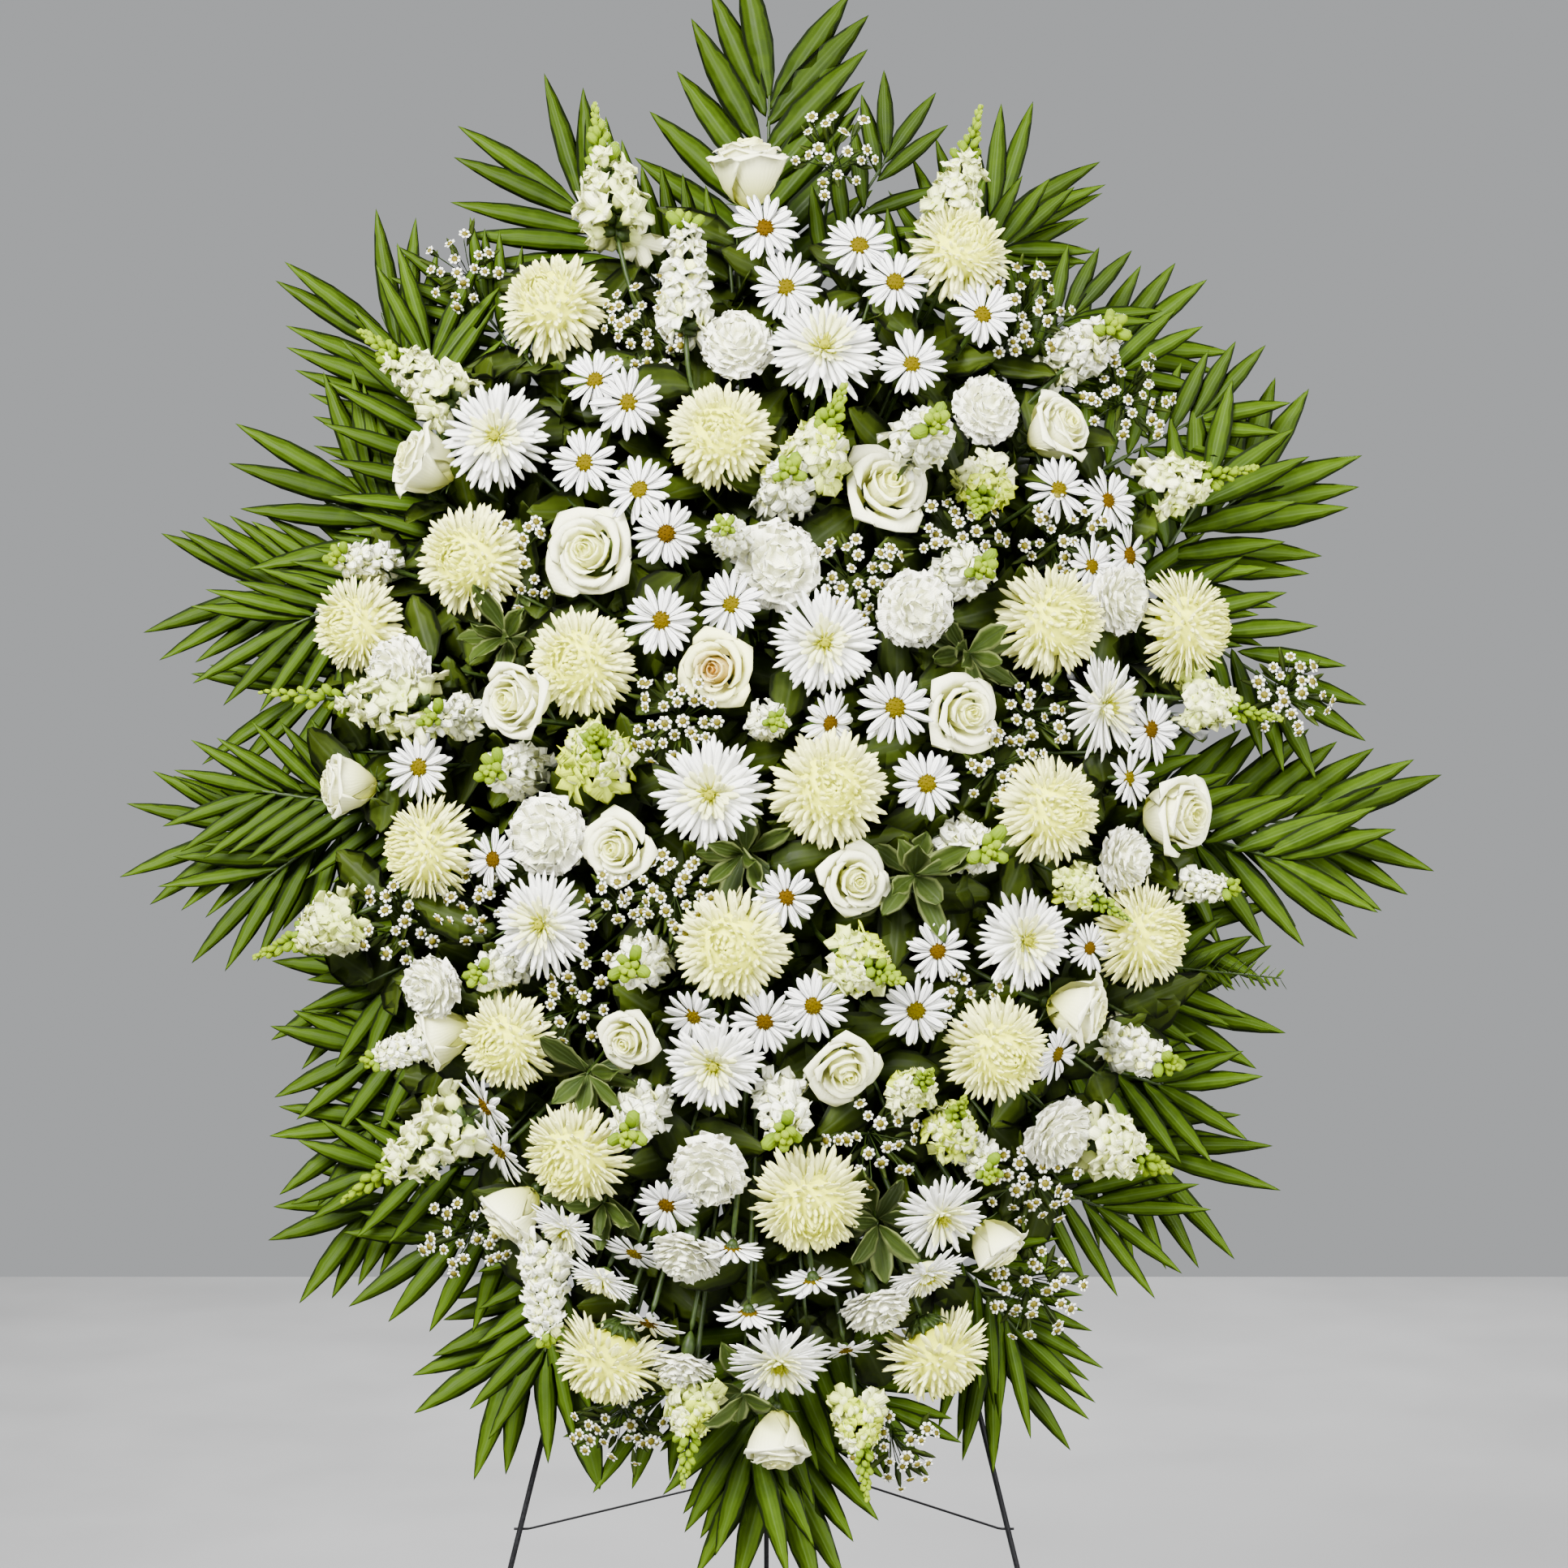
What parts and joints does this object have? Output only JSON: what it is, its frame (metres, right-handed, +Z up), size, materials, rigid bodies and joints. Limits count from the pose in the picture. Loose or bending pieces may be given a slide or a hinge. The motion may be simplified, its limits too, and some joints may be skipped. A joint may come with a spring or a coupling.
{
  "type": "standing funeral spray on a folding wire easel",
  "caption": "Oval one-sided spray of white and cream flowers with palm fronds, set in a caged foam block tied to a folding three-legged wire easel that leans back.",
  "frame": {"origin": "on the floor, below the middle of the whole arrangement's box", "axes": "+Z up; the flowers face -Y; +X to the right as seen from in front of the flowers"},
  "size_m": [1.1898, 0.7432, 1.8683],
  "materials": {
    "black_wire": "satin",
    "cage_plastic": "satin",
    "wet_foam": "matte",
    "palm_green": "satin",
    "cream_petals": "matte",
    "white_petals": "matte"
  },
  "bodies": {
    "easel_front": {"front_leg_left": "black_wire", "front_leg_right": "black_wire", "hinge_crossbar": "black_wire", "lower_crossbar": "black_wire", "stay_eye_left": "black_wire", "stay_eye_right": "black_wire", "cage_tie_upper": "black_wire", "cage_tie_lower": "black_wire", "cage_tray": "cage_plastic", "cage_grid": "cage_plastic", "foam_block": "wet_foam", "palm_top": "palm_green", "palm_top_right": "palm_green", "palm_right_high": "palm_green", "palm_right_upper": "palm_green", "palm_right_middle": "palm_green", "palm_right_low": "palm_green", "palm_lower_right_high": "palm_green", "palm_lower_right": "palm_green", "palm_bottom": "palm_green", "palm_lower_left": "palm_green", "palm_lower_left_high": "palm_green", "palm_left_low": "palm_green", "palm_left_middle": "palm_green", "palm_left_upper": "palm_green", "palm_left_high": "palm_green", "palm_top_left": "palm_green", "football_mum_01": "cream_petals", "football_mum_02": "cream_petals", "football_mum_03": "cream_petals", "football_mum_04": "cream_petals", "football_mum_05": "cream_petals", "football_mum_06": "cream_petals", "football_mum_07": "cream_petals", "football_mum_08": "cream_petals", "football_mum_09": "cream_petals", "football_mum_10": "cream_petals", "football_mum_11": "cream_petals", "football_mum_12": "cream_petals", "football_mum_13": "cream_petals", "football_mum_14": "cream_petals", "football_mum_15": "cream_petals", "football_mum_16": "cream_petals", "football_mum_17": "cream_petals", "football_mum_18": "cream_petals", "football_mum_19": "cream_petals", "spider_mum_01": "white_petals", "spider_mum_02": "white_petals", "spider_mum_03": "white_petals", "spider_mum_04": "white_petals", "spider_mum_05": "white_petals", "spider_mum_06": "white_petals", "spider_mum_07": "white_petals", "spider_mum_08": "white_petals", "spider_mum_09": "white_petals", "spider_mum_10": "white_petals"},
    "rear_leg": {"rear_leg": "black_wire"},
    "stays": {"stay_left": "black_wire", "stay_right": "black_wire"}
  },
  "joints": [
    {"name": "rear_leg_fold", "type": "hinge", "parent": "easel_front", "child": "rear_leg", "pos_m": [-0.016, -0.01242, 1.20063], "axis": [1, 0, 0], "range_deg": [-21, 0]},
    {"name": "stay_fold", "type": "hinge", "parent": "easel_front", "child": "stays", "pos_m": [-0.016, -0.14622, 0.42914], "axis": [1, 0, 0], "range_deg": [-74, 0]}
  ],
  "couplings": [
    {"joint": "stay_fold", "follows": "rear_leg_fold", "ratio": 3.5}
  ]
}
